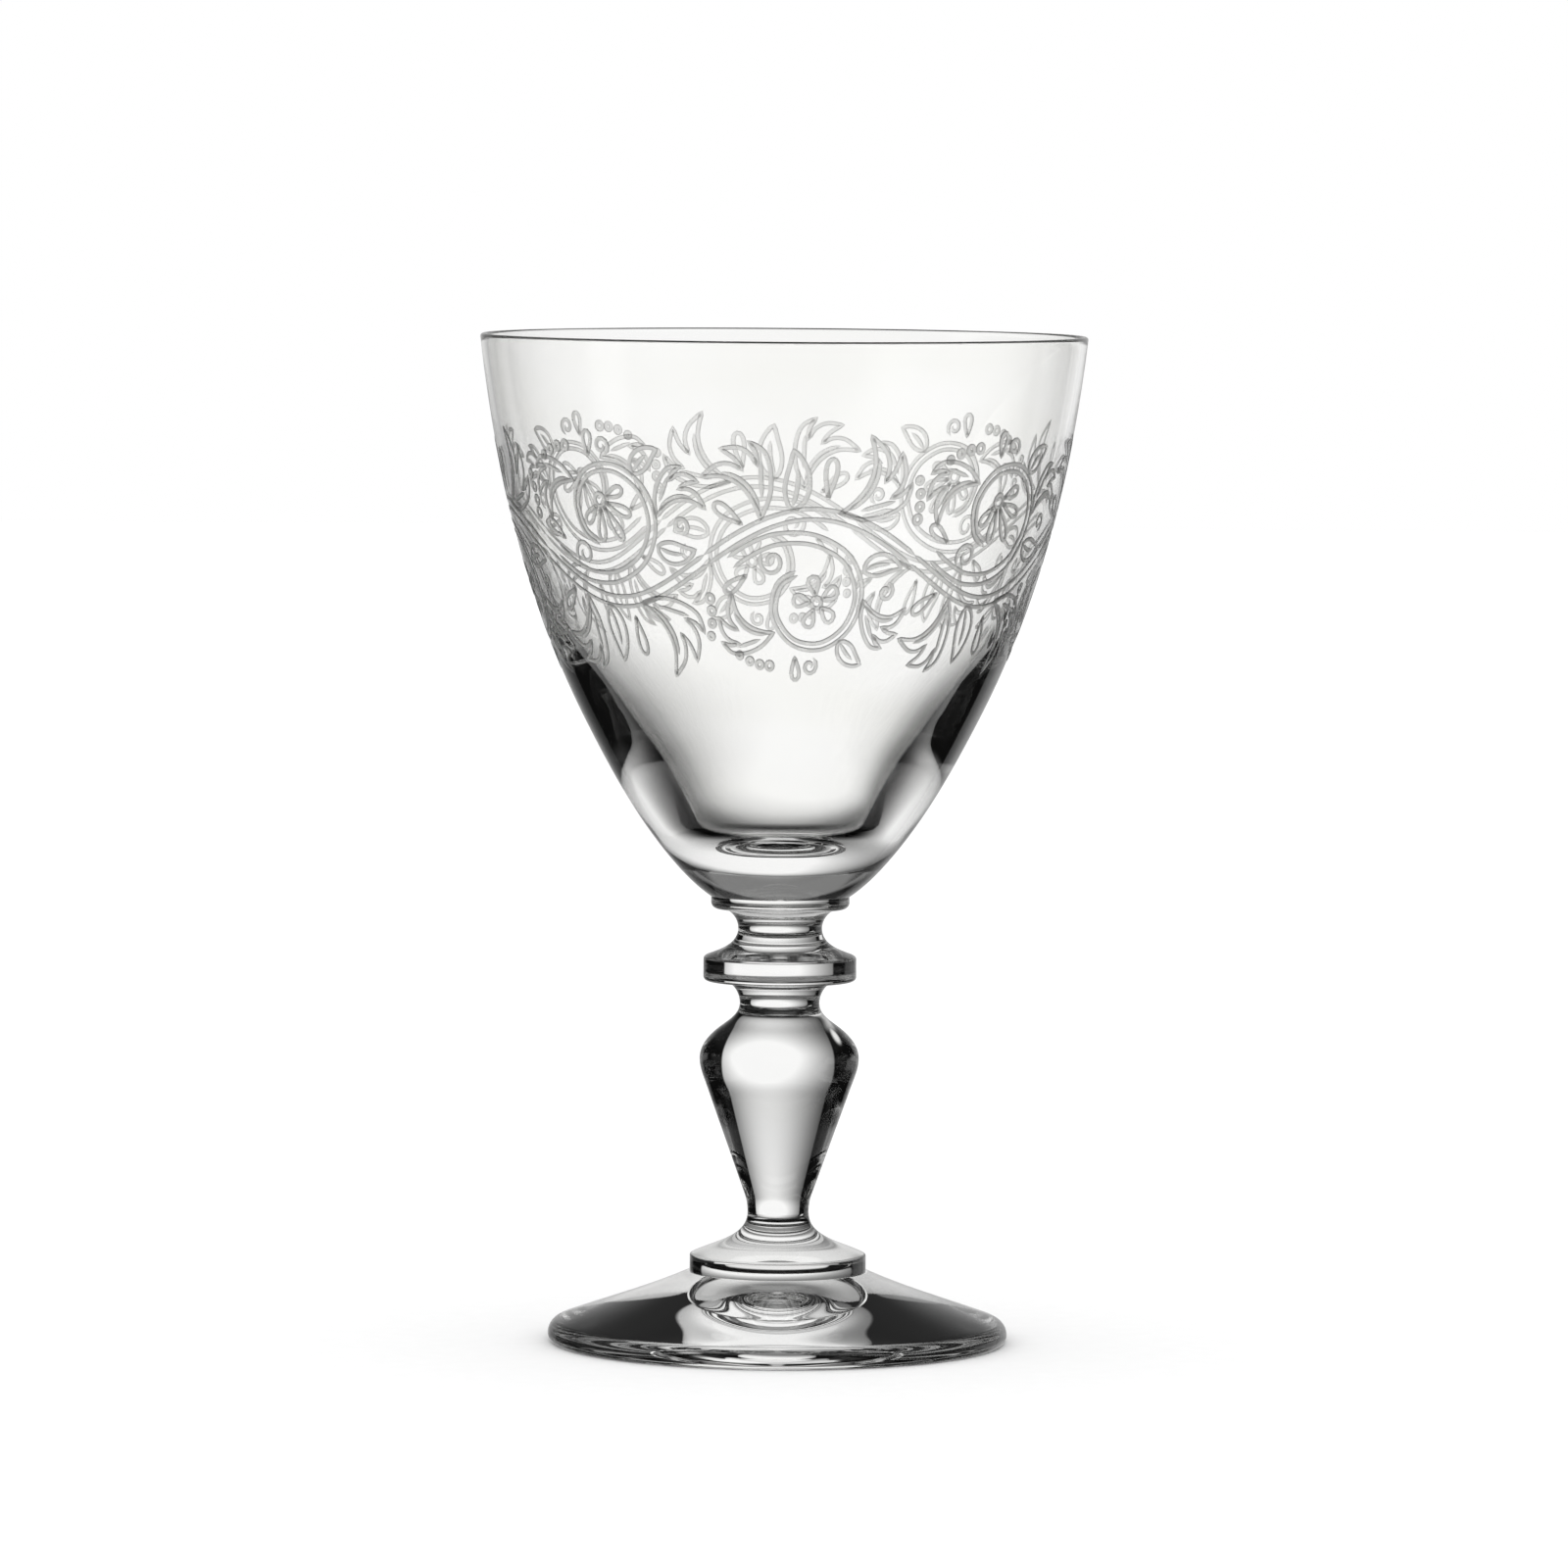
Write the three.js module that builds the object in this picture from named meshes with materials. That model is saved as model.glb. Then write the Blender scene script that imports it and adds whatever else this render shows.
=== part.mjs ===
// A wine goblet of clear glass: a blown bowl on a baluster stem with a broad conical foot.
// Seven turned bodies are fused end to end, each on a flat level face of the next.
// Millimetres, +Z up, with the origin on the table under the middle of the foot.
import * as THREE from 'three';

// Fineness of the facets
const sidesAround = 48;
const degreesPerFacet = 15;
const longestFacet = 9;
const leastFacetsPerBend = 3;

// Foot
const footRadius = 36.5;
const footHeight = 11.3;
const footEdgeHeight = 3.55;
const footWidestHeight = 1.3;
const footEdgeRound = 1.2;
const footEdgeDraw = 1.5;
const standingRingWidth = 1.3;
const hollowDepth = 5.0;
const hollowCrownRadius = 12.0;
const hollowSlope = 12;
const footSlopeAngle = 160;
const footLedgeWidth = 0.3;

// Flared merese between the foot and the stem
const footMereseRadius = 14.0;
const footMereseEdgeHeight = 2.9;
const footMereseEdgeRound = 0.42;
const footMereseFlareHeight = 6.5;

// Baluster, from its lower neck over the knop to its upper neck
const lowerNeckRadius = 4.85;
const lowerNeckHeight = 2.9;
const lowerNeckSwell = 0.5;
const coneHeight = 17.4;
const knopRadius = 12.65;
const knopDrawIn = 1.1;
const knopRise = 4.2;
const shoulderDrop = 4.96;
const shoulderAngle = 143;
const upperNeckRadius = 6.33;
const upperNeckDrop = 3.84;
const upperFlareHeight = 3.6;
const upperFlareRadius = 8.6;

// Flat collar between the baluster and the spool
const collarRadius = 12.14;
const collarEdgeHeight = 4.15;
const collarEdgeRound = 0.7;
const collarCrownHeight = 1.65;

// Waisted spool under the bowl
const spoolBaseRadius = 8.0;
const spoolWaistRadius = 6.66;
const spoolWaistHeight = 2.5;
const spoolFlareHeight = 3.2;
const spoolTopRadius = 9.0;

// Flat merese under the bowl
const bowlMereseRadius = 10.98;
const bowlMereseHeight = 2.05;
const bowlMereseRound = 0.98;

// Bowl, outside
const bowlSeatRadius = 11.2;
const bowlHeelRadius = 18.35;
const bowlHeelHeight = 7.05;
const bowlTurnRadius = 31.1;
const bowlTurnHeight = 20.8;
const rimRadius = 48.0;
const bowlWallHeight = 61.0;

// Bowl, inside: a thin wall that thickens down to a heavy base with a round-bottomed well
const rimWall = 1.0;
const baseThickness = 9.55;
const wellRadius = 14.5;
const wellDepth = 4.2;
const shoulderRise = 31.55;
const shoulderWall = 2.7;

const goblet = new THREE.Group();
goblet.name = 'wine_goblet';

// A step of the given length in a direction counted from straight out towards straight up.
function heading(degrees, length) {
  const angle = THREE.MathUtils.degToRad(degrees);
  return new THREE.Vector2(Math.cos(angle), Math.sin(angle)).multiplyScalar(length);
}

// The outline of a turned body in (radius, height), drawn outwards from the axis.
class Outline {
  constructor(radius, height) {
    this.points = [new THREE.Vector2(radius, height)];
  }

  line(radius, height) {
    this.points.push(new THREE.Vector2(radius, height));
    return this;
  }

  // A smooth run between two headings, with the handles of a circular arc of the same turn.
  bend(radius, height, leave, arrive) {
    const from = this.points.at(-1);
    const to = new THREE.Vector2(radius, height);
    const turn = Math.abs(arrive - leave);
    const span = from.distanceTo(to);
    const reach = span / (3 * Math.cos(THREE.MathUtils.degToRad(turn / 4)) ** 2);
    const first = from.clone().add(heading(leave, reach));
    const second = to.clone().sub(heading(arrive, reach));
    const needed = Math.max(turn / degreesPerFacet, span / longestFacet);
    const facets = Math.max(leastFacetsPerBend, Math.ceil(needed));
    const curve = new THREE.CubicBezierCurve(from, first, second, to);
    this.points.push(...curve.getPoints(facets).slice(1));
    return this;
  }

  // How high the outline has climbed so far.
  get height() {
    return Math.max(...this.points.map((point) => point.y));
  }

  // The heading of the straight run from the last point to a new one.
  headingTo(radius, height) {
    const from = this.points.at(-1);
    return THREE.MathUtils.radToDeg(Math.atan2(height - from.y, radius - from.x));
  }

  // The radius at a height on an outline that only climbs.
  radiusAt(height) {
    const above = this.points.findIndex((point) => point.y >= height);
    const low = this.points[above - 1];
    const high = this.points[above];
    return THREE.MathUtils.mapLinear(height, low.y, high.y, low.x, high.x);
  }
}

// Every body is clear glass; its tint, roughness and metalness are those of polished crystal.
function clearGlass() {
  return new THREE.MeshStandardMaterial({
    color: 0xe9eeee,
    roughness: 0.04,
    metalness: 0.0,
    transparent: true,
    opacity: 0.35,
  });
}

function turned(name, outline) {
  const geometry = new THREE.LatheGeometry(outline.points, sidesAround);
  geometry.rotateX(Math.PI / 2);
  const body = new THREE.Mesh(geometry, clearGlass());
  body.name = name;
  return body;
}

// The foot stands on a narrow ring round a hollow with a round crown; its top slopes up to a ledge.
function footOutline() {
  const ringOuter = footRadius - footEdgeRound;
  const ringInner = ringOuter - standingRingWidth;
  const crownDrop = hollowCrownRadius * Math.tan(THREE.MathUtils.degToRad(hollowSlope / 2));
  const ledge = footMereseRadius + footLedgeWidth;
  return new Outline(0, hollowDepth)
    .bend(hollowCrownRadius, hollowDepth - crownDrop, 0, -hollowSlope)
    .bend(ringInner, 0, -hollowSlope, -2)
    .line(ringOuter, 0)
    .bend(footRadius, footWidestHeight, 0, 90)
    .bend(footRadius - footEdgeDraw, footEdgeHeight, 90, footSlopeAngle)
    .bend(ledge, footHeight, footSlopeAngle, footSlopeAngle - 5)
    .line(0, footHeight);
}

// The lower merese has an upright rim and flares from there up into the neck of the stem.
function footMereseOutline() {
  const height = footMereseEdgeHeight + footMereseFlareHeight;
  const rimTop = footMereseEdgeHeight - footMereseEdgeRound;
  return new Outline(0, 0)
    .line(footMereseRadius, 0)
    .line(footMereseRadius, rimTop)
    .bend(footMereseRadius - footMereseEdgeRound, footMereseEdgeHeight, 90, 155)
    .bend(lowerNeckRadius, height, 155, 90)
    .line(0, height);
}

// The baluster rises as a slender cone to a full knop and draws in again to the upper neck.
function balusterOutline() {
  const outline = new Outline(0, 0).line(lowerNeckRadius, 0);
  const coneStart = [lowerNeckRadius + lowerNeckSwell, lowerNeckHeight];
  const coneEnd = [knopRadius - knopDrawIn, lowerNeckHeight + coneHeight];
  const coneAngle = new Outline(...coneStart).headingTo(...coneEnd);
  outline.bend(...coneStart, 90, coneAngle);
  outline.line(...coneEnd);
  outline.bend(knopRadius, outline.height + knopRise, coneAngle, 90);
  outline.bend((knopRadius + upperNeckRadius) / 2, outline.height + shoulderDrop, 90, shoulderAngle);
  outline.bend(upperNeckRadius, outline.height + upperNeckDrop, shoulderAngle, 90);
  outline.bend(upperFlareRadius, outline.height + upperFlareHeight, 90, 25);
  return outline.line(0, outline.height);
}

// The collar is a flat disc with softened edges and a low crown that runs into the spool.
function collarOutline() {
  const height = collarEdgeHeight + collarCrownHeight;
  return new Outline(0, 0)
    .line(collarRadius - collarEdgeRound, 0)
    .bend(collarRadius, collarEdgeRound, 0, 90)
    .line(collarRadius, collarEdgeHeight - collarEdgeRound)
    .bend(collarRadius - collarEdgeRound, collarEdgeHeight, 90, 160)
    .bend(spoolBaseRadius, height, 160, 142)
    .line(0, height);
}

function spoolOutline() {
  const height = spoolWaistHeight + spoolFlareHeight;
  return new Outline(0, 0)
    .line(spoolBaseRadius, 0)
    .bend(spoolWaistRadius, spoolWaistHeight, 142, 90)
    .bend(spoolTopRadius, height, 90, 20)
    .line(0, height);
}

function bowlMereseOutline() {
  return new Outline(0, 0)
    .line(bowlMereseRadius - bowlMereseRound, 0)
    .bend(bowlMereseRadius, bowlMereseRound, 0, 90)
    .line(bowlMereseRadius, bowlMereseHeight)
    .line(0, bowlMereseHeight);
}

// The bowl swells from its seat to a wide mouth. Inside, the wall thickens from the rim down to
// the heavy base, which holds a round-bottomed well. Wall thicknesses are measured level.
function bowlOutline() {
  const turnHeight = bowlHeelHeight + bowlTurnHeight;
  const height = turnHeight + bowlWallHeight;
  const lip = rimWall / 2;
  const outline = new Outline(0, 0)
    .line(bowlSeatRadius, 0)
    .bend(bowlHeelRadius, bowlHeelHeight, 35, 51)
    .bend(bowlTurnRadius, turnHeight, 51, 63)
    .bend(rimRadius, height - lip, 63, 83.5);
  const wellHeight = baseThickness + wellDepth;
  const shoulderHeight = wellHeight + shoulderRise;
  const shoulderRadius = outline.radiusAt(shoulderHeight) - shoulderWall;
  return outline
    .bend(rimRadius - lip, height, 90, 180)
    .bend(rimRadius - rimWall, height - lip, 180, 263.5)
    .bend(shoulderRadius, shoulderHeight, 263.5, 246)
    .bend(wellRadius, wellHeight, 246, 233)
    .bend(0, baseThickness, 233, 180);
}

// The bodies in the order in which they stand on one another.
const outlines = {
  foot: footOutline(),
  foot_merese: footMereseOutline(),
  baluster: balusterOutline(),
  collar: collarOutline(),
  stem_spool: spoolOutline(),
  bowl_merese: bowlMereseOutline(),
  bowl: bowlOutline(),
};

let seat = 0;
for (const [name, outline] of Object.entries(outlines)) {
  const body = turned(name, outline);
  body.position.z = seat;
  goblet.add(body);
  seat += outline.height;
}

export default goblet;
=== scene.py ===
import math

import bmesh
import bpy
from mathutils import Matrix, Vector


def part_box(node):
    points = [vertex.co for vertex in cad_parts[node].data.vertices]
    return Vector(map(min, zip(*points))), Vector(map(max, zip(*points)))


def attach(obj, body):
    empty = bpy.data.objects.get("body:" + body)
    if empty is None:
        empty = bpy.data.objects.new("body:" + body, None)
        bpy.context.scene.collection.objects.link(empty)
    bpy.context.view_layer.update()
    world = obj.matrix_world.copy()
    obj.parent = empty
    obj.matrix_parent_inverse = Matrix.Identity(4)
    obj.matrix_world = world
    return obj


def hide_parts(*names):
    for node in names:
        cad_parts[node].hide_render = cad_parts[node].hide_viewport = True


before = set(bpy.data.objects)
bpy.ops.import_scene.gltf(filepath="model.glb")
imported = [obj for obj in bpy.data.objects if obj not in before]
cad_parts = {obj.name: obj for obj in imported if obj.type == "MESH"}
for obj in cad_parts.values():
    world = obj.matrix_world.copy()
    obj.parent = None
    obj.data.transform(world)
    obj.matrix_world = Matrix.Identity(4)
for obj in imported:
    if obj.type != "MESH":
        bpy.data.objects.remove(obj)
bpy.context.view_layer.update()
scene = bpy.context.scene
scene.view_settings.view_transform = "Standard"
mm = 0.001
print("frame:", len(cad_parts), "turned bodies from the CAD model")


class Wire:  # a socket in a node tree that can stand in a sum
    def __init__(self, tree, socket=None):
        self.tree = tree
        self.socket = socket

    def node(self, kind, settings=None, sockets=None, out=0):
        made = self.tree.nodes.new(kind)
        for name, value in (settings or {}).items():
            if name == "stops":
                ramp = made.color_ramp
                while len(ramp.elements) < len(value):
                    ramp.elements.new(1.0)
                for element, (place, colour) in zip(ramp.elements, value):
                    element.position, element.color = place, (*colour, 1.0)
            else:
                setattr(made, name, value)
        for name, value in (sockets or {}).items():
            self.feed(made.inputs[name], value)
        return Wire(self.tree, None if out is None else made.outputs[out])

    def feed(self, socket, value):
        if isinstance(value, Wire):
            self.tree.links.new(value.socket, socket)
        else:
            socket.default_value = value

    def maths(self, operation, *others):
        return self.node("ShaderNodeMath", {"operation": operation}, dict(enumerate((self, *others))))

    def axes(self):
        return [self.node("ShaderNodeSeparateXYZ", None, {0: self}, out=k) for k in range(3)]

    def rise(self, low, high):  # 0 below low, 1 above high, smooth between
        return self.node("ShaderNodeMapRange", {"interpolation_type": "SMOOTHSTEP"},
                         {"Value": self, "From Min": low, "From Max": high})

    def __add__(self, other):
        return self.maths("ADD", other)

    def __sub__(self, other):
        return self.maths("SUBTRACT", other)

    def __rsub__(self, other):
        return self.maths("MULTIPLY_ADD", -1.0, other)

    def __mul__(self, other):
        return self.maths("MULTIPLY", other)

    def __truediv__(self, other):
        return self.maths("DIVIDE", other)

    __radd__ = __add__
    __rmul__ = __mul__


# camera, set to the photo's perspective

viewpoint = dict(
    aside=0.45,         # mm
    back=1515.26,
    height=194.915,
    lookDown=4.004,     # degrees
    lean=0.42,          # the photo is turned by this much
    lens=220.08,
    sensor=36.0,
    clip=(0.05, 60.0),  # m
)


def placeCamera(s):
    data = bpy.data.cameras.new("photoCamera")
    data.lens = s["lens"]
    data.sensor_width = s["sensor"]
    data.clip_start, data.clip_end = s["clip"]
    camera = bpy.data.objects.new("photoCamera", data)
    scene.collection.objects.link(camera)
    spot = Matrix.Translation((s["aside"] * mm, -s["back"] * mm, s["height"] * mm))
    tilt = Matrix.Rotation(math.radians(90 - s["lookDown"]), 4, "X")
    lean = Matrix.Rotation(math.radians(s["lean"]), 4, "Z")
    camera.matrix_world = spot @ (tilt @ lean)
    scene.camera = camera


placeCamera(viewpoint)
print("camera placed")


# finishes

def newFinish(name):
    material = bpy.data.materials.new(name)
    material.use_nodes = True
    tree = material.node_tree
    tree.nodes.clear()
    shader = tree.nodes.new("ShaderNodeBsdfPrincipled")
    output = tree.nodes.new("ShaderNodeOutputMaterial")
    tree.links.new(shader.outputs[0], output.inputs["Surface"])
    wire = Wire(tree)
    place = wire.node("ShaderNodeTexCoord", out="Object")
    return material, shader, wire, place


def setFinish(wire, shader, **values):
    for name, value in values.items():
        wire.feed(shader.inputs[name], value)


crystal = dict(
    ior=1.52,
    clear=(1.0, 1.0, 0.993),
    tinged=(0.988, 0.988, 0.974),   # a trace of straw colour where the melt is uneven
    tingeEdge=(0.35, 0.6),
    cordSize=34.0,                  # streaks in the melt, per metre
    cordLie=(1.0, 1.0, 3.2),        # they lie flat
    cordDepth=0.00003,
    cordStrength=0.35,
    polish=0.0,
    handled=0.012,                  # roughness of finger-touched patches
    patchSize=55.0,
    patchEdge=(0.52, 0.75),
)


def clearGlass(s):
    material, shader, wire, place = newFinish("clearGlass")
    laid = wire.node("ShaderNodeMapping", None, {"Vector": place, "Scale": s["cordLie"]})
    cord = wire.node("ShaderNodeTexNoise", None, {
        "Vector": laid, "Scale": s["cordSize"], "Detail": 2.0, "Roughness": 0.4})
    patch = wire.node("ShaderNodeTexNoise", None, {"Vector": place, "Scale": s["patchSize"], "Detail": 3.0})
    stops = list(zip(s["tingeEdge"], (s["tinged"], s["clear"])))
    tint = wire.node("ShaderNodeValToRGB", {"stops": stops}, {"Fac": cord})
    bump = wire.node("ShaderNodeBump", None, {
        "Height": cord, "Strength": s["cordStrength"], "Distance": s["cordDepth"]})
    setFinish(wire, shader, **{
        "Base Color": tint,
        "Roughness": s["polish"] + patch.rise(*s["patchEdge"]) * (s["handled"] - s["polish"]),
        "Normal": bump,
        "IOR": s["ior"],
        "Transmission Weight": 1.0,
    })
    return material


etch = dict(
    ior=1.52,
    pale=(0.97, 0.97, 0.965),
    grey=(0.89, 0.89, 0.885),
    satin=0.26,             # roughness where the acid bit lightly
    frosted=0.4,            # and where it bit hard
    biteSize=700.0,         # bitten patches, per metre
    biteEdge=(0.35, 0.65),
    grainSize=5200.0,
    grainDepth=0.000012,
    grainStrength=0.3,
)


def etchedGlass(s):
    material, shader, wire, place = newFinish("etchedGlass")
    bite = wire.node("ShaderNodeTexNoise", None, {"Vector": place, "Scale": s["biteSize"], "Detail": 3.0})
    grain = wire.node("ShaderNodeTexNoise", None, {"Vector": place, "Scale": s["grainSize"], "Detail": 2.0})
    stops = list(zip(s["biteEdge"], (s["grey"], s["pale"])))
    tint = wire.node("ShaderNodeValToRGB", {"stops": stops}, {"Fac": bite})
    bump = wire.node("ShaderNodeBump", None, {
        "Height": grain, "Strength": s["grainStrength"], "Distance": s["grainDepth"]})
    setFinish(wire, shader, **{
        "Base Color": tint,
        "Roughness": s["satin"] + bite.rise(*s["biteEdge"]) * (s["frosted"] - s["satin"]),
        "Normal": bump,
        "IOR": s["ior"],
        "Transmission Weight": 1.0,
    })
    return material


def fusedJoint():  # the level faces where two bodies are melted together have no surface
    material, shader, wire, _ = newFinish("fusedJoint")
    setFinish(wire, shader, **{"Alpha": 0.0, "IOR": 1.0, "Specular IOR Level": 0.0})
    return material


glass = clearGlass(crystal)
frost = etchedGlass(etch)
melted = fusedJoint()
print("finishes: clear glass, etched glass, fused joints")


# turned bodies

lathe = dict(
    sides=256,
    core=1.0,               # mm, radius of the circle that the outline is carried round
    facetTurn=3.0,          # degrees between facets of a bend
    facetLength=0.9,        # mm
    leastFacets=4,
    sharpAngle=18.0,
    mergeGap=2e-6,          # m
    slack=1e-6,             # m, for faces that count as level
)


# half section of a turned body, radius and height in mm, drawn from the axis outwards;
# headings in degrees: 0 runs straight out, 90 up and 180 in
class Outline:
    def __init__(self, radius, height):
        self.points = [(radius, height)]

    def line(self, radius, height):
        self.points.append((radius, height))
        return self

    def bend(self, radius, height, leave, arrive):  # smooth run between two headings
        (a, b), turn = self.points[-1], abs(arrive - leave)
        span = math.hypot(radius - a, height - b)
        reach = span / (3 * math.cos(math.radians(turn / 4)) ** 2)
        start, end = math.radians(leave), math.radians(arrive)
        first = (a + reach * math.cos(start), b + reach * math.sin(start))
        second = (radius - reach * math.cos(end), height - reach * math.sin(end))
        self.handles = [(a, b), first, second, (radius, height)]
        needed = math.ceil(turn / lathe["facetTurn"]), math.ceil(span / lathe["facetLength"])
        facets = max(lathe["leastFacets"], *needed)
        for t in (k / facets for k in range(1, facets + 1)):
            shares = ((1 - t) ** 3, 3 * t * (1 - t) ** 2, 3 * t * t * (1 - t), t ** 3)
            self.points.append(tuple(sum(q * p[k] for q, p in zip(shares, self.handles)) for k in (0, 1)))
        return self

    def radiusAt(self, height):
        above = next(k for k, p in enumerate(self.points) if p[1] >= height)
        (a, b), (c, d) = self.points[above - 1], self.points[above]
        return a + (c - a) * (height - b) / (d - b)


def newTree(name, sockets):
    tree = bpy.data.node_groups.new(name, "GeometryNodeTree")
    tree.interface.new_socket("Geometry", in_out="INPUT", socket_type="NodeSocketGeometry")
    for label, kind in sockets.items():
        tree.interface.new_socket(label, in_out="INPUT", socket_type="NodeSocket" + kind)
    tree.interface.new_socket("Geometry", in_out="OUTPUT", socket_type="NodeSocketGeometry")
    start = tree.nodes.new("NodeGroupInput")
    given = {socket.name: Wire(tree, socket) for socket in start.outputs if socket.name}
    return tree, Wire(tree), given


def closeTree(wire, shape, material):  # every tree ends the same way
    real = wire.node("GeometryNodeRealizeInstances", None, {"Geometry": shape})
    clad = wire.node("GeometryNodeSetMaterial", None, {"Geometry": real, "Material": material})
    wire.node("NodeGroupOutput", None, {"Geometry": clad}, out=None)


def makeLathe():
    tree, wire, given = newTree("glassLathe", {"Sides": "Int", "Core": "Float", "Finish": "Material"})
    x, y, _ = wire.node("GeometryNodeInputPosition").axes()
    section = wire.node("GeometryNodeSetPosition", None, {
        "Geometry": given["Geometry"],
        "Position": wire.node("ShaderNodeCombineXYZ", None, {"X": x - given["Core"], "Y": y * -1.0}),
    })
    circle = wire.node("GeometryNodeCurvePrimitiveCircle", None, {
        "Resolution": given["Sides"], "Radius": given["Core"]})
    ring = wire.node("GeometryNodeSetCurveNormal", {"mode": "Z_UP"}, {"Curve": circle})
    turned = wire.node("GeometryNodeCurveToMesh", None, {"Curve": ring, "Profile Curve": section})
    closeTree(wire, turned, given["Finish"])
    return tree


def drawCurve(name, strokes):
    data = bpy.data.curves.new(name, "CURVE")
    data.dimensions = "3D"
    for points, closed in strokes:
        spline = data.splines.new("POLY")
        spline.points.add(len(points) - 1)
        spline.points.foreach_set("co", [c for u, v in points for c in (u * mm, v * mm, 0.0, 1.0)])
        spline.use_cyclic_u = closed
    drawn = bpy.data.objects.new(name, data)
    scene.collection.objects.link(drawn)
    return drawn


def runTree(drawn, tree, values, name):  # the tree's result as a plain mesh object
    modifier = drawn.modifiers.new(tree.name, "NODES")
    modifier.node_group = tree
    for item in tree.interface.items_tree:
        if item.in_out == "INPUT" and item.name in values:
            modifier[item.identifier] = values[item.name]
    graph = bpy.context.evaluated_depsgraph_get()
    mesh = bpy.data.meshes.new_from_object(drawn.evaluated_get(graph), depsgraph=graph)
    mesh.name = name
    drawn.modifiers.remove(modifier)
    data = drawn.data
    bpy.data.objects.remove(drawn)
    bpy.data.curves.remove(data)
    piece = bpy.data.objects.new(name, mesh)
    scene.collection.objects.link(piece)
    return piece


def closeMesh(piece, gap):  # merges seams and poles and turns the faces outwards
    work = bmesh.new()
    work.from_mesh(piece.data)
    bmesh.ops.remove_doubles(work, verts=work.verts, dist=gap)
    bmesh.ops.dissolve_degenerate(work, edges=work.edges, dist=gap / 10)
    bmesh.ops.recalc_face_normals(work, faces=work.faces)
    work.to_mesh(piece.data)
    work.free()


latheTree = makeLathe()


def turnGlass(node, outline, under=0.0, over=0.0):
    # under and over are the radii at which this body is melted to the one below and above it
    seat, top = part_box(node)[0][2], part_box(node)[1][2]
    drawn = drawCurve(node + "Section", [([(r, h + seat / mm) for r, h in outline.points], False)])
    values = {"Sides": lathe["sides"], "Core": lathe["core"] * mm, "Finish": glass}
    piece = runTree(drawn, latheTree, values, node + "Glass")
    mesh = piece.data
    closeMesh(piece, lathe["mergeGap"])
    mesh.materials.append(melted)
    slack = lathe["slack"]
    for face in mesh.polygons:
        spots = [mesh.vertices[k].co for k in face.vertices]
        reach = max(math.hypot(spot.x, spot.y) for spot in spots)
        for level, radius in ((seat, under), (top, over)):
            if reach < radius * mm + slack and all(abs(spot.z - level) < slack for spot in spots):
                face.material_index = 1
    mesh.shade_smooth()
    mesh.set_sharp_from_angle(angle=math.radians(lathe["sharpAngle"]))
    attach(piece, "root")
    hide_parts(node)
    print(node, "turned:", len(mesh.polygons), "faces")


foot = dict(
    radius=36.5, height=11.3,
    widest=1.3, edgeHeight=3.55, edgeRound=1.2, edgeDraw=1.5,
    ringWidth=1.3,          # the flat ring that it stands on
    hollow=5.0,             # depth of the hollow under it
    crown=12.0,             # radius of the hollow's round crown
    fall=12.0,              # slope of the hollow from there
    landing=2.0,            # and where it meets the ring
    slope=160.0,            # heading of the top at its edge
    steepen=5.0,            # and by how much it steepens up to the ledge
    ledge=0.3,
)

footMerese = dict(radius=14.0, edge=2.9, edgeRound=0.42, slope=155.0, flare=6.5, neck=4.85)


def turnFoot(s, merese):
    ringOuter = s["radius"] - s["edgeRound"]
    ringInner = ringOuter - s["ringWidth"]
    shoulder = s["hollow"] - s["crown"] * math.tan(math.radians(s["fall"] / 2))
    outline = Outline(0, s["hollow"]).bend(s["crown"], shoulder, 0, -s["fall"])
    outline.bend(ringInner, 0, -s["fall"], -s["landing"]).line(ringOuter, 0)
    outline.bend(s["radius"], s["widest"], 0, 90)
    outline.bend(s["radius"] - s["edgeDraw"], s["edgeHeight"], 90, s["slope"])
    outline.bend(merese["radius"] + s["ledge"], s["height"], s["slope"], s["slope"] - s["steepen"])
    outline.line(merese["radius"], s["height"]).line(0, s["height"])
    turnGlass("foot", outline, over=merese["radius"])


def turnFootMerese(s):
    top = s["edge"] + s["flare"]
    outline = Outline(0, 0).line(s["radius"], 0).line(s["radius"], s["edge"] - s["edgeRound"])
    outline.bend(s["radius"] - s["edgeRound"], s["edge"], 90, s["slope"])
    outline.bend(s["neck"], top, s["slope"], 90).line(0, top)
    turnGlass("foot_merese", outline, s["radius"], s["neck"])


baluster = dict(
    neckSwell=0.5, neckHeight=2.9, cone=17.4,
    knop=12.65, knopDrawIn=1.1, knopRise=4.2,
    shoulder=4.96, shoulderAngle=143.0,
    upperNeck=6.33, upperNeckRise=3.84,
    flare=3.6, flareRadius=8.6, flareAngle=25.0,
)


def turnBaluster(s, neck):
    start = (neck + s["neckSwell"], s["neckHeight"])
    end = (s["knop"] - s["knopDrawIn"], s["neckHeight"] + s["cone"])
    lean = math.degrees(math.atan2(end[1] - start[1], end[0] - start[0]))
    outline = Outline(0, 0).line(neck, 0).bend(*start, 90, lean).line(*end)
    height = end[1] + s["knopRise"]
    outline.bend(s["knop"], height, lean, 90)
    height += s["shoulder"]
    outline.bend((s["knop"] + s["upperNeck"]) / 2, height, 90, s["shoulderAngle"])
    height += s["upperNeckRise"]
    outline.bend(s["upperNeck"], height, s["shoulderAngle"], 90)
    height += s["flare"]
    outline.bend(s["flareRadius"], height, 90, s["flareAngle"]).line(0, height)
    turnGlass("baluster", outline, neck, s["flareRadius"])


collar = dict(radius=12.14, edge=4.15, edgeRound=0.7, crown=1.65, crownAngle=160.0, top=8.0, topAngle=142.0)


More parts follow.
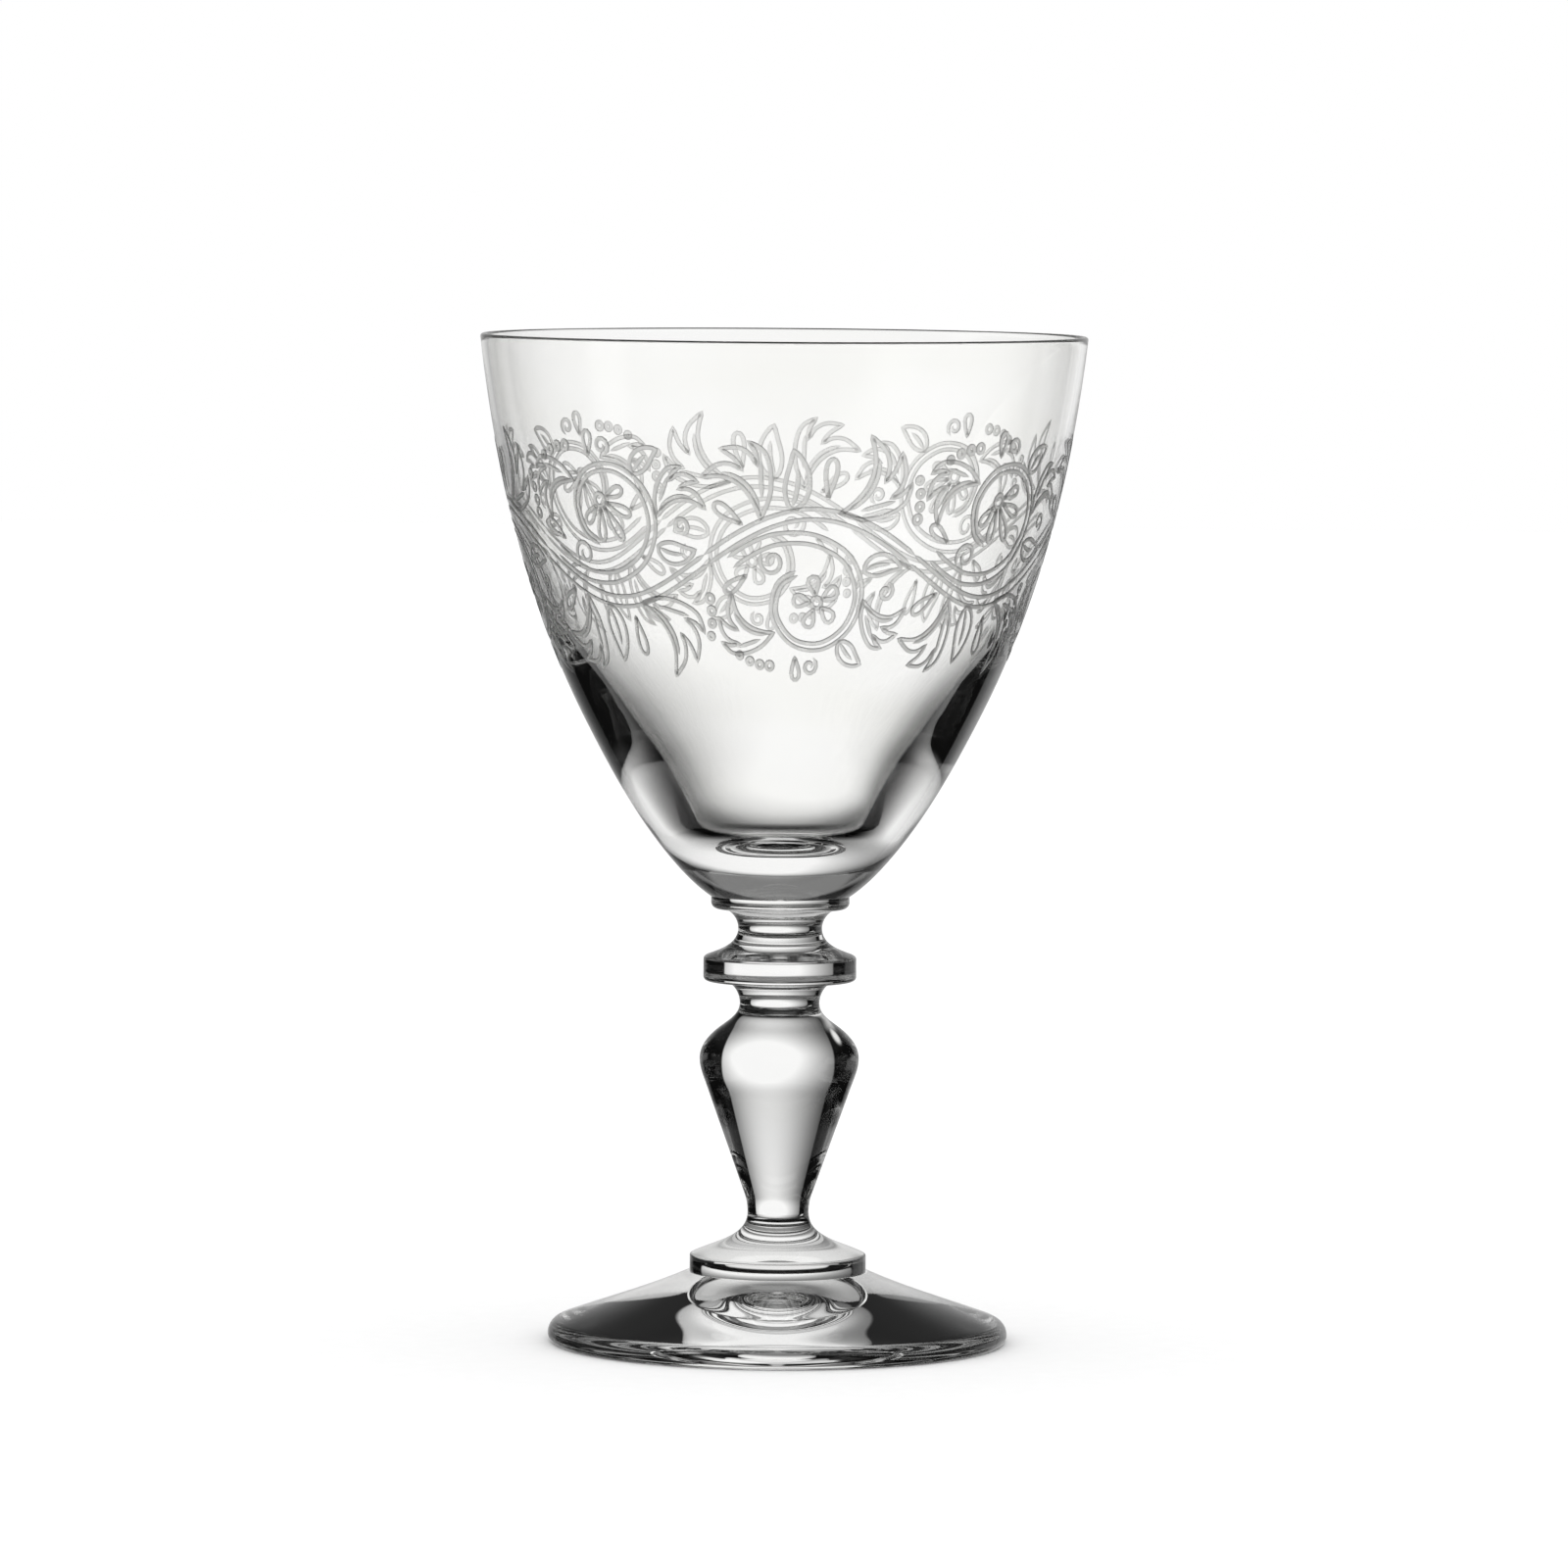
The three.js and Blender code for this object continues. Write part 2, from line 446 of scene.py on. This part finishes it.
def turnCollar(s, below):
    height = s["edge"] + s["crown"]
    outline = Outline(0, 0).line(below, 0).line(s["radius"] - s["edgeRound"], 0)
    outline.bend(s["radius"], s["edgeRound"], 0, 90).line(s["radius"], s["edge"] - s["edgeRound"])
    outline.bend(s["radius"] - s["edgeRound"], s["edge"], 90, s["crownAngle"])
    outline.bend(s["top"], height, s["crownAngle"], s["topAngle"]).line(0, height)
    turnGlass("collar", outline, below, s["top"])


spool = dict(waist=6.66, waistHeight=2.5, flare=3.2, flareAngle=20.0, top=9.0)


def turnSpool(s, base, baseAngle):
    height = s["waistHeight"] + s["flare"]
    outline = Outline(0, 0).line(base, 0).bend(s["waist"], s["waistHeight"], baseAngle, 90)
    outline.bend(s["top"], height, 90, s["flareAngle"]).line(0, height)
    turnGlass("stem_spool", outline, base, s["top"])


bowlMerese = dict(radius=10.98, height=2.05, edgeRound=0.98)


def turnBowlMerese(s, below):
    outline = Outline(0, 0).line(below, 0).line(s["radius"] - s["edgeRound"], 0)
    outline.bend(s["radius"], s["edgeRound"], 0, 90).line(s["radius"], s["height"]).line(0, s["height"])
    turnGlass("bowl_merese", outline, below, s["radius"])


bowl = dict(
    # outside, from the seat up
    seat=11.2, seatAngle=35.0,
    heel=18.35, heelHeight=7.05, heelAngle=51.0,
    turn=31.1, turnRise=20.8, turnAngle=63.0,
    rim=48.0, wallRise=61.0, rimAngle=83.5,
    # inside, from the rim down
    rimWall=1.0,
    shoulderRise=31.55, shoulderWall=2.7, shoulderAngle=246.0,
    well=14.5, wellDepth=4.2, wellAngle=233.0,
    base=9.55,
)


def turnBowl(s, below):
    turnHeight = s["heelHeight"] + s["turnRise"]
    height, lip = turnHeight + s["wallRise"], s["rimWall"] / 2
    outline = Outline(0, 0).line(below, 0).line(s["seat"], 0)
    outline.bend(s["heel"], s["heelHeight"], s["seatAngle"], s["heelAngle"])
    outline.bend(s["turn"], turnHeight, s["heelAngle"], s["turnAngle"])
    outline.bend(s["rim"], height - lip, s["turnAngle"], s["rimAngle"])
    wall = outline.handles  # the etched band is laid on this run
    wellHeight = s["base"] + s["wellDepth"]
    shoulder = wellHeight + s["shoulderRise"]
    shoulderRadius = outline.radiusAt(shoulder) - s["shoulderWall"]
    outline.bend(s["rim"] - lip, height, 90, 180)
    outline.bend(s["rim"] - s["rimWall"], height - lip, 180, 180 + s["rimAngle"])
    outline.bend(shoulderRadius, shoulder, 180 + s["rimAngle"], s["shoulderAngle"])
    outline.bend(s["well"], wellHeight, s["shoulderAngle"], s["wellAngle"])
    outline.bend(0, s["base"], s["wellAngle"], 180)
    turnGlass("bowl", outline, below)
    return wall


turnFoot(foot, footMerese)
turnFootMerese(footMerese)
turnBaluster(baluster, footMerese["neck"])
turnCollar(collar, baluster["flareRadius"])
turnSpool(spool, collar["top"], collar["topAngle"])
turnBowlMerese(bowlMerese, spool["top"])
bowlWall = turnBowl(bowl, bowlMerese["radius"])


# etched band: an acanthus scroll, drawn flat and then laid round the bowl

scroll = dict(
    repeats=4,              # times that the scroll runs round the bowl
    unit=88.0,              # length of one repeat as it is drawn
    height=40.0,
    scale=(0.75, 0.87),     # of the drawing, round the bowl and up its wall
    bandFoot=11.9,          # mm along the wall from the bowl's turn to the band
    middleRadius=42.0,
    turned=-12.0,           # mm by which the band is turned round the bowl
    swing=8.5,              # mm that the vine swings up and down
    vineKnots=12,
    stem=0.95,              # half the width of the double-lined vine
    step=0.8,               # mm between points of a stroke
    lineWidth=0.74,
    lineHeight=0.06,
    lineSink=0.02,
    sectionSides=10,
    flatTop=0.6,            # the lower, the flatter the line's top
    taper=(-0.4, 1.2),      # mm at an open end over which the line swells to its width
    wallSteps=160,
    sharpAngle=50.0,
    mergeGap=1e-7,          # m
)


class Needle:  # collects etched strokes in flat mm: u round the bowl, v up its wall
    def __init__(self, step, scale):
        self.step = step
        self.scale = scale
        self.strokes = []
        self.frame = lambda u, v: (u, v)

    def stroke(self, points, closed=False):
        laid = [self.frame(u, v) for u, v in points]
        self.strokes.append(([(u * self.scale[0], v * self.scale[1]) for u, v in laid], closed))

    def place(self, points, u, v, heading):  # points of a motif, turned and moved to its spot
        c, s = (f(math.radians(heading)) for f in (math.cos, math.sin))
        return [(u + x * c - y * s, v + x * s + y * c) for x, y in points]

    def through(self, knots):  # a smooth line through a few knots
        last, points = len(knots) - 1, []
        for i in range(last):
            a, b, c, d = (knots[min(max(i + k, 0), last)] for k in (-1, 0, 1, 2))
            parts = max(2, round(math.dist(b, c) / self.step))
            for t in (j / parts for j in range(parts)):
                points.append(tuple(
                    q + (r - p) / 2 * t
                    + (2 * p - 5 * q + 4 * r - s) / 2 * t * t
                    + (3 * q - p - 3 * r + s) / 2 * t ** 3
                    for p, q, r, s in zip(a, b, c, d)))
        return points + [knots[-1]]

    def beside(self, points, near, far):  # the same line moved sideways by near to far
        moved, last = [], len(points) - 1
        for k, (u, v) in enumerate(points):
            (a, b), (c, d) = points[max(k - 1, 0)], points[min(k + 1, last)]
            aside = (near + (far - near) * k / last) / math.dist((a, b), (c, d))
            moved.append((u - (d - b) * aside, v + (c - a) * aside))
        return moved

    def branch(self, knots, near, far):  # a double line that tapers
        spine = self.through(knots)
        for side in (1, -1):
            self.stroke(self.beside(spine, side * near, side * far))

    def leaf(self, u, v, heading, length, width, curl):  # a pointed leaf with a bent rib
        turn = math.radians(curl)
        steps = max(12, round(1.4 * length / self.step))

        def rib(t, share=0.0):
            half = share * width / 2 * math.sin(math.pi * t ** 0.75) ** 0.85
            x, y = length / turn * math.sin(turn * t), length / turn * (1 - math.cos(turn * t))
            return x - half * math.sin(turn * t), y + half * math.cos(turn * t)

        edge = [[rib(k / steps, share) for k in range(steps + 1)] for share in (1, -1)]
        self.stroke(self.place(edge[0] + edge[1][-2:0:-1], u, v, heading), True)
        spine = [rib(0.04 + 0.7 * k / steps) for k in range(0, steps + 1, 2)]
        self.stroke(self.place(spine, u, v, heading))

    def plume(self, u, v, heading, size, hand):  # half an acanthus leaf in three tongues
        edges = (((0, 0), (0.25, 0.08), (0.5, 0.24), (0.67, 0.5), (0.7, 0.86)),
                 ((0.7, 0.86), (0.85, 0.6), (0.85, 0.38), (0.74, 0.2)),
                 ((0.74, 0.2), (0.92, 0.3), (1.08, 0.5)),
                 ((1.08, 0.5), (1.08, 0.24), (0.97, 0.06), (0.78, -0.04)),
                 ((0.78, -0.04), (0.96, -0.04), (1.14, 0.05)),
                 ((1.14, 0.05), (0.98, -0.17), (0.66, -0.24), (0.3, -0.18), (0, 0)))
        ribs = (((0.12, 0.0), (0.4, 0.08), (0.62, 0.26), (0.74, 0.52)),
                ((0.3, -0.06), (0.58, -0.08), (0.84, -0.1)))

        def sized(knots):
            return self.through([(x * size, hand * y * size) for x, y in knots])

        outline = [point for edge in edges for point in sized(edge)[:-1]]
        self.stroke(self.place(outline, u, v, heading), True)
        for rib in ribs:
            self.stroke(self.place(sized(rib), u, v, heading))

    def curl(self, u, v, heading, radius, turns, hand):  # a spiral that winds in
        steps = max(12, round(4.4 * radius * turns / self.step))
        points = []
        for t in (k / steps for k in range(steps + 1)):
            r, a = radius * (1 - 0.75 * t ** 0.85), 2 * math.pi * turns * t - math.pi / 2
            points.append((r * math.cos(a), hand * (radius + r * math.sin(a))))
        self.stroke(self.place(points, u, v, heading))

    def drop(self, u, v, heading, length, width):  # a teardrop with its point at (u, v)
        steps = max(12, round(2.4 * length / self.step))
        angles = [2 * math.pi * k / steps for k in range(steps)]
        outline = [(length * (1 - math.cos(a)) / 2, width / 2 * math.sin(a) * math.sin(a / 2) ** 1.5)
                   for a in angles]
        self.stroke(self.place(outline, u, v, heading), True)

    def ring(self, u, v, radius):
        angles = [2 * math.pi * k / 12 for k in range(12)]
        self.stroke([(u + radius * math.cos(a), v + radius * math.sin(a)) for a in angles], True)

    def beads(self, u, v, heading, count, gap, size, bow):  # shrinking rings along a bow
        for k in range(count):
            (x, y), = self.place([(gap * k, bow * (gap * k) ** 2)], u, v, heading)
            self.ring(x, y, size * (1 - 0.08 * k))

    def fan(self, u, v, size, heading, petals, width):  # drops round a ring
        self.ring(u, v, 0.3 * size)
        for turn, length in petals:
            (x, y), = self.place([(0.4 * size, 0)], u, v, heading + turn)
            self.drop(x, y, heading + turn, length * size, width * size)


def drawScroll(s):
    needle = Needle(s["step"], s["scale"])
    half, height, swing, knots = s["unit"] / 2, s["height"], s["swing"], s["vineKnots"]
    crest = [(u, height / 2 + swing * math.sin(math.pi * u / half))
             for u in (half * k / knots for k in range(knots + 1))]
    # petals and pods: heading and length
    blossom = [(72 * k, 1.0) for k in range(5)]
    pods = [(0, 1.7), (38, 1.45), (-38, 1.45), (78, 1.1), (-78, 1.1)]
    for flipped in (False, True):  # under the crest of the vine, then the same above its trough
        if flipped:
            needle.frame = lambda u, v: (u + half, height - v)
        for side in (1, -1):
            needle.stroke(needle.beside(needle.through(crest), side * s["stem"], side * s["stem"]))
        needle.branch([
            (5.0, 19.4), (9.5, 22.0), (15.0, 23.9), (22.5, 23.7), (29.4, 20.2), (32.6, 13.9),
            (30.8, 7.4), (25.0, 3.7), (18.2, 4.6), (14.2, 9.6), (15.2, 15.2), (19.0, 17.6),
        ], 1.1, 0.45)
        if flipped:
            needle.fan(20.6, 9.6, 4.1, 58, pods, 0.62)
        else:
            needle.fan(23.4, 12.0, 3.6, 30, blossom, 0.92)
        # leaves that stand on the outer side of the vine
        needle.plume(11.5, 27.6, 96, 12.4, 1)
        needle.leaf(17.6, 29.4, 66, 11.0, 4.8, 44)
        needle.plume(27.4, 28.6, 18, 13.6, 1)
        # leaves on the outer side of the scroll
        needle.plume(33.8, 12.4, -60, 9.6, 1)
        needle.leaf(29.4, 4.6, -62, 7.4, 3.6, 46)
        needle.plume(14.0, 6.2, 192, 10.6, -1)
        needle.leaf(33.4, 17.8, 34, 8.6, 4.0, -60)
        # curls, drops and beads in the open places
        needle.curl(11.6, 21.4, 232, 2.8, 1.3, 1)
        needle.drop(24.8, 31.4, 84, 7.2, 3.2)
        needle.drop(7.6, 26.6, 146, 6.4, 3.0)
        needle.curl(23.4, 1.4, -25, 1.9, 1.3, -1)
        needle.curl(39.2, 15.8, -10, 1.9, 1.3, -1)
        needle.drop(19.0, 1.4, -86, 4.4, 2.7)
        needle.drop(8.2, 17.0, 214, 5.6, 2.7)
        needle.beads(44.0, 27.4, 82, 4, 2.35, 0.8, 0.03)
        needle.beads(13.0, -0.2, 180, 4, 2.35, 0.8, -0.04)
    return needle.strokes


def makeBand():
    tree, wire, given = newTree("etchedBand", {
        "Line Width": "Float", "Line Height": "Float", "Line Sink": "Float",
        "Section Sides": "Int", "Flat Top": "Float", "Taper From": "Float", "Taper To": "Float",
        "Band Foot": "Float", "Middle Radius": "Float", "Turned": "Float", "Repeats": "Int",
        "Wall Foot": "Vector", "Foot Handle": "Vector", "Rim Handle": "Vector", "Wall Rim": "Vector",
        "Wall Steps": "Int", "Finish": "Material",
    })
    # section of a line: a low flat-topped ridge that is let into the wall
    x, y, _ = wire.node("GeometryNodeInputPosition").axes()
    ridge = y.maths("MAXIMUM", 0.0).maths("POWER", given["Flat Top"]) * given["Line Height"]
    under = y.maths("LESS_THAN", -0.01) * given["Line Sink"]
    circle = wire.node("GeometryNodeCurvePrimitiveCircle", None, {
        "Resolution": given["Section Sides"], "Radius": 1.0})
    section = wire.node("GeometryNodeSetPosition", None, {
        "Geometry": circle,
        "Position": wire.node("ShaderNodeCombineXYZ", None, {
            "X": x * given["Line Width"] * 0.5, "Y": under - ridge}),
    })
    # strokes, narrower at their open ends
    along = wire.node("GeometryNodeSplineParameter", out="Length")
    whole = wire.node("GeometryNodeSplineLength", out="Length")
    ends = along.maths("MINIMUM", whole - along).rise(given["Taper From"], given["Taper To"])
    closed = wire.node("GeometryNodeInputSplineCyclic")
    strokes = wire.node("GeometryNodeSetCurveNormal", {"mode": "Z_UP"}, {"Curve": given["Geometry"]})
    flat = wire.node("GeometryNodeCurveToMesh", None, {
        "Curve": strokes, "Profile Curve": section, "Scale": ends.maths("MAXIMUM", closed), "Fill Caps": True})
    # the flat drawing laid on the wall: u turns round the axis, v climbs the wall, w stands off it
    u, v, w = wire.node("GeometryNodeInputPosition").axes()
    wall = wire.node("GeometryNodeCurvePrimitiveBezierSegment", {"mode": "POSITION"}, {
        "Resolution": given["Wall Steps"],
        "Start": given["Wall Foot"], "Start Handle": given["Foot Handle"],
        "End Handle": given["Rim Handle"], "End": given["Wall Rim"]})
    climb = {"Curves": wall, "Length": v + given["Band Foot"]}
    spot = wire.node("GeometryNodeSampleCurve", {"mode": "LENGTH"}, climb, out="Position").axes()
    way = wire.node("GeometryNodeSampleCurve", {"mode": "LENGTH"}, climb, out="Tangent").axes()
    radius, height = spot[0] + w * way[2], spot[2] - w * way[0]
    angle = (u + given["Turned"]) / given["Middle Radius"]
    laid = wire.node("GeometryNodeSetPosition", None, {
        "Geometry": flat,
        "Position": wire.node("ShaderNodeCombineXYZ", None, {
            "X": radius * angle.maths("SINE"), "Y": radius * angle.maths("COSINE") * -1.0, "Z": height}),
    })
    # one copy for each repeat, turned about the axis
    places = wire.node("GeometryNodeMeshLine", None, {"Count": given["Repeats"], "Offset": (0.0, 0.0, 0.0)})
    share = wire.node("GeometryNodeInputIndex") * (2 * math.pi) / given["Repeats"]
    euler = wire.node("ShaderNodeCombineXYZ", None, {"Z": share})
    turn = wire.node("FunctionNodeEulerToRotation", None, {"Euler": euler})
    copies = wire.node("GeometryNodeInstanceOnPoints", None, {
        "Points": places, "Instance": laid, "Rotation": turn})
    closeTree(wire, copies, given["Finish"])
    return tree


def etchBowl(s, wall):
    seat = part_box("bowl")[0][2]
    drawn = drawCurve("scrollStrokes", drawScroll(s))
    values = {label: (r * mm, 0.0, seat + h * mm)
              for label, (r, h) in zip(("Wall Foot", "Foot Handle", "Rim Handle", "Wall Rim"), wall)}
    values |= {
        "Line Width": s["lineWidth"] * mm,
        "Line Height": s["lineHeight"] * mm,
        "Line Sink": s["lineSink"] * mm,
        "Section Sides": s["sectionSides"],
        "Flat Top": s["flatTop"],
        "Taper From": s["taper"][0] * mm,
        "Taper To": s["taper"][1] * mm,
        "Band Foot": s["bandFoot"] * mm,
        "Middle Radius": s["middleRadius"] * mm,
        "Turned": s["turned"] * mm,
        "Repeats": s["repeats"],
        "Wall Steps": s["wallSteps"],
        "Finish": frost,
    }
    piece = runTree(drawn, makeBand(), values, "etchedScroll")
    closeMesh(piece, s["mergeGap"])
    piece.data.shade_smooth()
    piece.data.set_sharp_from_angle(angle=math.radians(s["sharpAngle"]))
    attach(piece, "root")
    print("band etched:", len(piece.data.polygons), "faces")


etchBowl(scroll, bowlWall)


# floor and light

tent = dict(
    floorSize=3.0,              # m
    floorColour=(0.9, 0.9, 0.9),
    fibreSize=300.0,            # grain of the floor, per metre
    fibreShade=0.985,
    fibreEdge=(0.3, 0.7),
    white=1.0,                  # what the camera sees behind the goblet
    floorLight=1.25,
    dark=0.004,                 # what lies beside the panel
    # lit panel behind the goblet, in degrees round from straight behind it and up
    panel=(-33.5, 35.5, 1.0),   # from, to, softness of its edge
    panelGlow=1.46,
    glowMiddle=(8.0, -4.0),     # its brightest spot
    glowReach=(31.0, 26.0),
    glowFoot=(-48.0, -30.0),    # where it fades out below
    wallFoot=(-36.0, -20.0),    # and where it does so through both walls of the bowl
    glowMost=1.02,
    wallMore=0.11,              # how much more may come through both walls
    low=(-60.0, -28.0, 6.0),    # the panel low down, as the foot shows it
    lowGlow=0.86,
    # how often a ray passed the surface or was mirrored inside the glass
    wallsFrom=2.5,
    straightUpTo=0.5,
    twiceFrom=1.5,
    deepFrom=2.5,
    roomUpTo=8.5,
    trappedFrom=23.5,
    # room round the goblet
    room=0.42,                  # light from the front that the foot mirrors about inside itself
    roomFrom=(164.0, 174.0),
    ceiling=0.22,
    ceilingFrom=(22.0, 34.0),
    ceilingGap=(42.0, 88.0, 6.0),
    trapped=0.8,                # what a ray finds that ran on inside the wall, as in the rim
    trappedAbove=(14.0, 24.0),
    # as the outside of the glass mirrors it
    sheen=0.52,                 # share of the panel
    overhead=0.07,              # and of the ceiling
    screenRound=(34.0, 64.0, 3.0),  # white screen on the right
    screenUp=(-15.0, 3.0, 3.0),
    screenLevel=0.5,
    # white cloths in the dark for the other sides: degrees round and up, and their reach
    cloth=0.95,
    clothDeep=0.4,              # share of them for rays that were mirrored deep inside
    cloths=(
        (-106.0, -8.0, 10.0, 22.0),
        (135.0, -20.0, 14.0, 14.0),
        (132.0, -33.0, 26.0, 22.0),
    ),
    farCloths=(                 # these only show through both walls of the bowl
        (-50.0, -24.0, 17.0, 20.0),
        (-93.0, -6.0, 30.0, 28.0),
        (137.0, -15.0, 36.0, 28.0),
    ),
    stemCloths=(                # and these straight through the rest
        (-45.0, -26.0, 5.0, 8.0),
        (-45.0, -46.0, 16.0, 13.0),
        (-94.0, -8.0, 11.0, 20.0),
        (-130.0, -6.0, 31.0, 30.0),
        (135.0, -8.0, 36.0, 30.0),
    ),
)


def lightTent(s):
    world = bpy.data.worlds.new("lightTent")
    scene.world = world
    world.use_nodes = True
    world.cycles.sampling_method = "NONE"
    tree = world.node_tree
    tree.nodes.clear()
    wire = Wire(tree)
    x, y, z = wire.node("ShaderNodeTexCoord", out="Generated").axes()
    around = x.maths("ARCTAN2", y) * math.degrees(1)
    up = z.maths("ARCSINE") * math.degrees(1)
    aside = around.maths("ABSOLUTE")

    def between(value, low, high, soft):  # 1 from low to high with soft edges
        return value.rise(low - soft, low + soft) * (1 - value.rise(high - soft, high + soft))

    # how a ray came through the glass: both walls of the bowl, straight through, or mirrored inside
    walls = wire.node("ShaderNodeLightPath", out="Transmission Depth").maths("GREATER_THAN", s["wallsFrom"])
    mirrors = wire.node("ShaderNodeLightPath", out="Glossy Depth")
    straight = mirrors.maths("LESS_THAN", s["straightUpTo"]) * (1 - walls)
    twice = mirrors.maths("GREATER_THAN", s["twiceFrom"]) * (1 - walls)
    deep = mirrors.maths("GREATER_THAN", s["deepFrom"]) * (1 - walls)
    # lit panel
    a = (around - s["glowMiddle"][0]) / s["glowReach"][0]
    b = (up - s["glowMiddle"][1]) / s["glowReach"][1]
    glow = ((a * a + b * b) * -1.0).maths("EXPONENT") * up.rise(*s["glowFoot"]) * s["panelGlow"]
    glow = glow * (1 - walls * (1 - up.rise(*s["wallFoot"])))
    glow = glow.maths("MAXIMUM", between(up, *s["low"]) * twice * s["lowGlow"])
    glow = glow.maths("MINIMUM", s["glowMost"] + walls * s["wallMore"])
    panel = between(around, *s["panel"])
    # cloths in the dark beside it
    beside = up * 0.0 + s["dark"]
    seen = {"cloths": 1 - twice + deep * s["clothDeep"], "farCloths": walls, "stemCloths": straight}
    for group, share in seen.items():
        for middle, height, wide, tall in s[group]:
            c, d = (around - middle) / wide, (up - height) / tall
            away = c * c + d * d
            beside = beside.maths("MAXIMUM", (away * away * -1.0).maths("EXPONENT") * s["cloth"] * share)
    front = aside.rise(*s["roomFrom"]) * deep * mirrors.maths("LESS_THAN", s["roomUpTo"])
    beside = beside.maths("MAXIMUM", front * s["room"])
    # what shows through the glass
    around360 = glow * panel + (1 - panel) * beside
    ceiling = up.rise(*s["ceilingFrom"])
    gap = between(aside, *s["ceilingGap"])
    through = around360 * (1 - ceiling) + ceiling * (1 - gap) * (panel * deep * s["room"] + s["ceiling"])
    trapped = mirrors.maths("GREATER_THAN", s["trappedFrom"]) * up.rise(*s["trappedAbove"])
    through = through.maths("MAXIMUM", trapped * s["trapped"])
    # what its outside mirrors
    screen = between(around, *s["screenRound"]) * between(up, *s["screenUp"]) * s["screenLevel"]
    mirrored = through * panel * s["sheen"] + (1 - panel) * (ceiling * s["overhead"] + screen + s["dark"])
    # each kind of ray finds its own
    sees = {kind: wire.node("ShaderNodeLightPath", out=f"Is {kind} Ray")
            for kind in ("Camera", "Glossy", "Transmission")}
    level = sees["Glossy"] * mirrored + (1 - sees["Glossy"]) * s["floorLight"]
    level = sees["Transmission"] * through + (1 - sees["Transmission"]) * level
    level = sees["Camera"] * s["white"] + (1 - sees["Camera"]) * level
    lit = wire.node("ShaderNodeBackground", None, {"Color": (1.0, 1.0, 1.0, 1.0), "Strength": level})
    wire.node("ShaderNodeOutputWorld", None, {"Surface": lit}, out=None)


def layFloor(s):
    mesh = bpy.data.meshes.new("paleFloor")
    size = s["floorSize"]
    corners = [(-size, -size, 0), (size, -size, 0), (size, size, 0), (-size, size, 0)]
    mesh.from_pydata(corners, [], [(0, 1, 2, 3)])
    floor = bpy.data.objects.new("paleFloor", mesh)
    scene.collection.objects.link(floor)
    material, shader, wire, place = newFinish("paleFloor")
    fibre = wire.node("ShaderNodeTexNoise", None, {"Vector": place, "Scale": s["fibreSize"], "Detail": 2.0})
    shaded = tuple(c * s["fibreShade"] for c in s["floorColour"])
    stops = list(zip(s["fibreEdge"], (shaded, s["floorColour"])))
    tint = wire.node("ShaderNodeValToRGB", {"stops": stops}, {"Fac": fibre})
    setFinish(wire, shader, **{"Base Color": tint, "Roughness": 0.9, "Specular IOR Level": 0.0})
    mesh.materials.append(material)
    floor.visible_transmission = False      # the glass shows the tent instead
    floor.visible_glossy = False


lightTent(tent)
layFloor(tent)
# light runs a long way inside the glass
scene.cycles.max_bounces = 72
scene.cycles.transmission_bounces = 32
scene.cycles.glossy_bounces = 64
scene.cycles.transparent_max_bounces = 64
print("tent and floor set")
